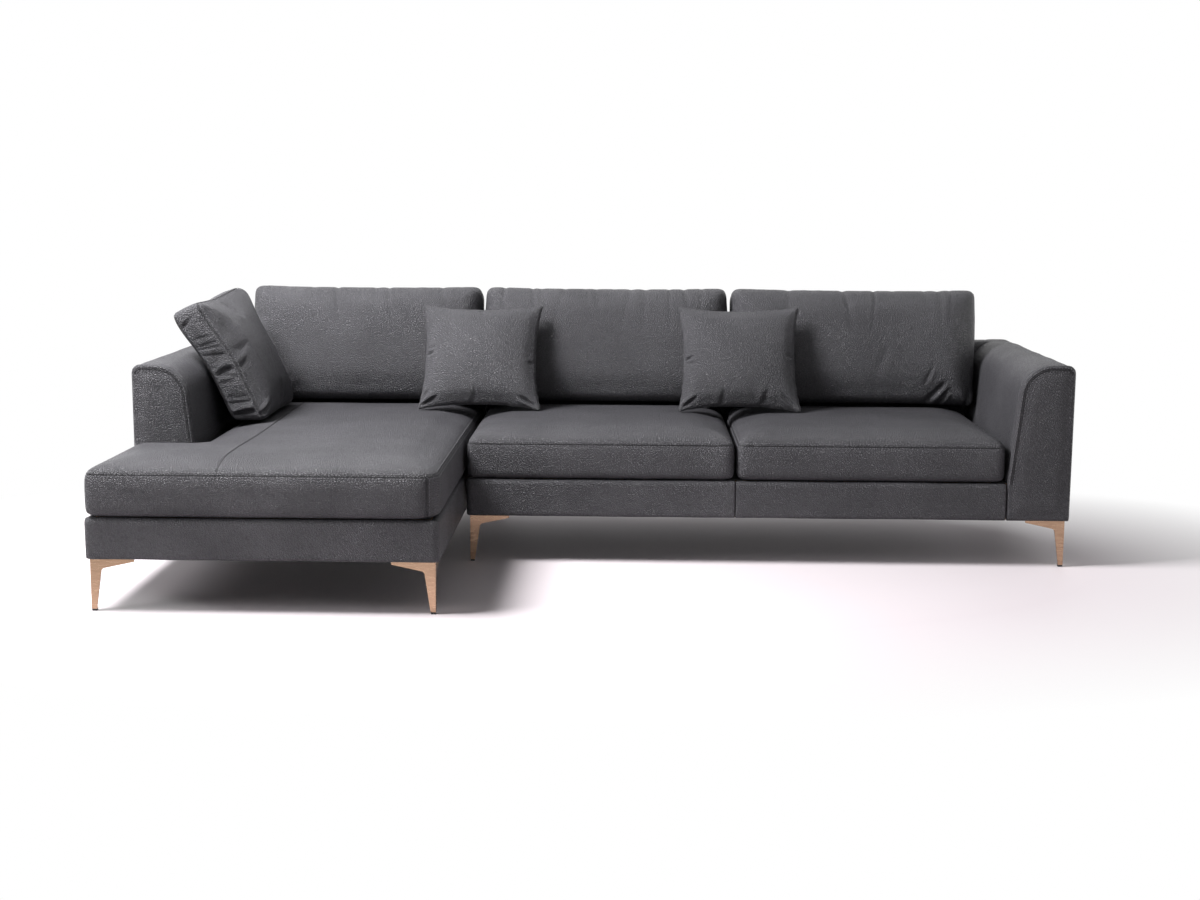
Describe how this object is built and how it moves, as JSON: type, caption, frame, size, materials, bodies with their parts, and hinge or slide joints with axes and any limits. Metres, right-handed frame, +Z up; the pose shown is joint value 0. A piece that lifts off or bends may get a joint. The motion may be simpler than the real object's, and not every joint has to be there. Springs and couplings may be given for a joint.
{
  "type": "sectional sofa with chaise",
  "caption": "Two-module sectional sofa with a left chaise, low arms, loose cushions, throw pillows and slim metal corner legs.",
  "frame": {"origin": "on the floor under the middle of the sofa's bounding box", "axes": "+Z up, +X along the length towards the right arm, the front faces -Y"},
  "size_m": [2.9, 1.634, 0.8254],
  "materials": {
    "leather": "satin",
    "rose_metal": "satin",
    "glide_plastic": "matte",
    "zinc_steel": "satin",
    "timber": "matte",
    "webbing": "matte",
    "black_cloth": "matte",
    "foam": "matte"
  },
  "bodies": {
    "frame": {"chaise_back_cover": "leather", "chaise_back_frame": "timber", "chaise_back_padding": "foam", "chaise_corner_blocks": "timber", "chaise_cross_rail_1": "timber", "chaise_cross_rail_2": "timber", "chaise_deck_cloth": "black_cloth", "chaise_dust_cover": "black_cloth", "chaise_front_apron": "leather", "chaise_front_rail": "timber", "chaise_left_apron": "leather", "chaise_left_rail": "timber", "chaise_leg_front_left": "rose_metal", "chaise_leg_front_right": "rose_metal", "chaise_leg_rear_left": "rose_metal", "chaise_leg_rear_right": "rose_metal", "chaise_rear_rail": "timber", "chaise_right_apron": "leather", "chaise_right_rail": "timber", "chaise_webbing": "webbing", "hook_plates": "zinc_steel", "hook_receivers": "zinc_steel", "left_arm_cover": "leather", "left_arm_frame": "timber", "left_arm_front_panel": "leather", "left_arm_padding": "foam", "leg_bolts": "zinc_steel", "leg_glides": "glide_plastic", "right_arm_cover": "leather", "right_arm_frame": "timber", "right_arm_front_panel": "leather", "right_arm_padding": "foam", "sofa_back_cover": "leather", "sofa_back_frame": "timber", "sofa_back_padding": "foam", "sofa_corner_blocks": "timber", "sofa_cross_rail_1": "timber", "sofa_cross_rail_2": "timber", "sofa_deck_cloth": "black_cloth", "sofa_dust_cover": "black_cloth", "sofa_front_apron_left": "leather", "sofa_front_apron_right": "leather", "sofa_front_rail": "timber", "sofa_left_rail": "timber", "sofa_leg_front_left": "rose_metal", "sofa_leg_front_right": "rose_metal", "sofa_leg_rear_left": "rose_metal", "sofa_leg_rear_right": "rose_metal", "sofa_rear_rail": "timber", "sofa_right_rail": "timber", "sofa_webbing": "webbing"},
    "chaise_cushion": {"chaise_cushion": "leather"},
    "seat_cushion_left": {"seat_cushion_left": "leather"},
    "seat_cushion_right": {"seat_cushion_right": "leather"},
    "back_cushion_left": {"back_cushion_left": "leather"},
    "back_cushion_middle": {"back_cushion_middle": "leather"},
    "back_cushion_right": {"back_cushion_right": "leather"},
    "side_cushion": {"side_cushion": "leather"},
    "throw_pillow_left": {"throw_pillow_left": "leather"},
    "throw_pillow_right": {"throw_pillow_right": "leather"}
  },
  "joints": [
    {"name": "back_cushion_left_lift", "type": "slide", "parent": "frame", "child": "back_cushion_left", "axis": [0, 0.2419, 0.9703], "range_m": [0, 0.45]},
    {"name": "back_cushion_middle_lift", "type": "slide", "parent": "frame", "child": "back_cushion_middle", "axis": [0, 0.2419, 0.9703], "range_m": [0, 0.45]},
    {"name": "back_cushion_right_lift", "type": "slide", "parent": "frame", "child": "back_cushion_right", "axis": [0, 0.2419, 0.9703], "range_m": [0, 0.45]},
    {"name": "side_cushion_lift", "type": "slide", "parent": "frame", "child": "side_cushion", "axis": [-0.4226, 0, 0.9063], "range_m": [0, 0.42]},
    {"name": "throw_pillow_left_lift", "type": "slide", "parent": "frame", "child": "throw_pillow_left", "axis": [0, -0.342, 0.9397], "range_m": [0, 0.42]},
    {"name": "throw_pillow_right_lift", "type": "slide", "parent": "frame", "child": "throw_pillow_right", "axis": [0, -0.342, 0.9397], "range_m": [0, 0.42]},
    {"name": "chaise_cushion_pull", "type": "slide", "parent": "frame", "child": "chaise_cushion", "axis": [0, -1, 0], "range_m": [0, 1.43]},
    {"name": "seat_cushion_left_pull", "type": "slide", "parent": "frame", "child": "seat_cushion_left", "axis": [0, -1, 0], "range_m": [0, 0.75]},
    {"name": "seat_cushion_right_pull", "type": "slide", "parent": "frame", "child": "seat_cushion_right", "axis": [0, -1, 0], "range_m": [0, 0.75]}
  ]
}
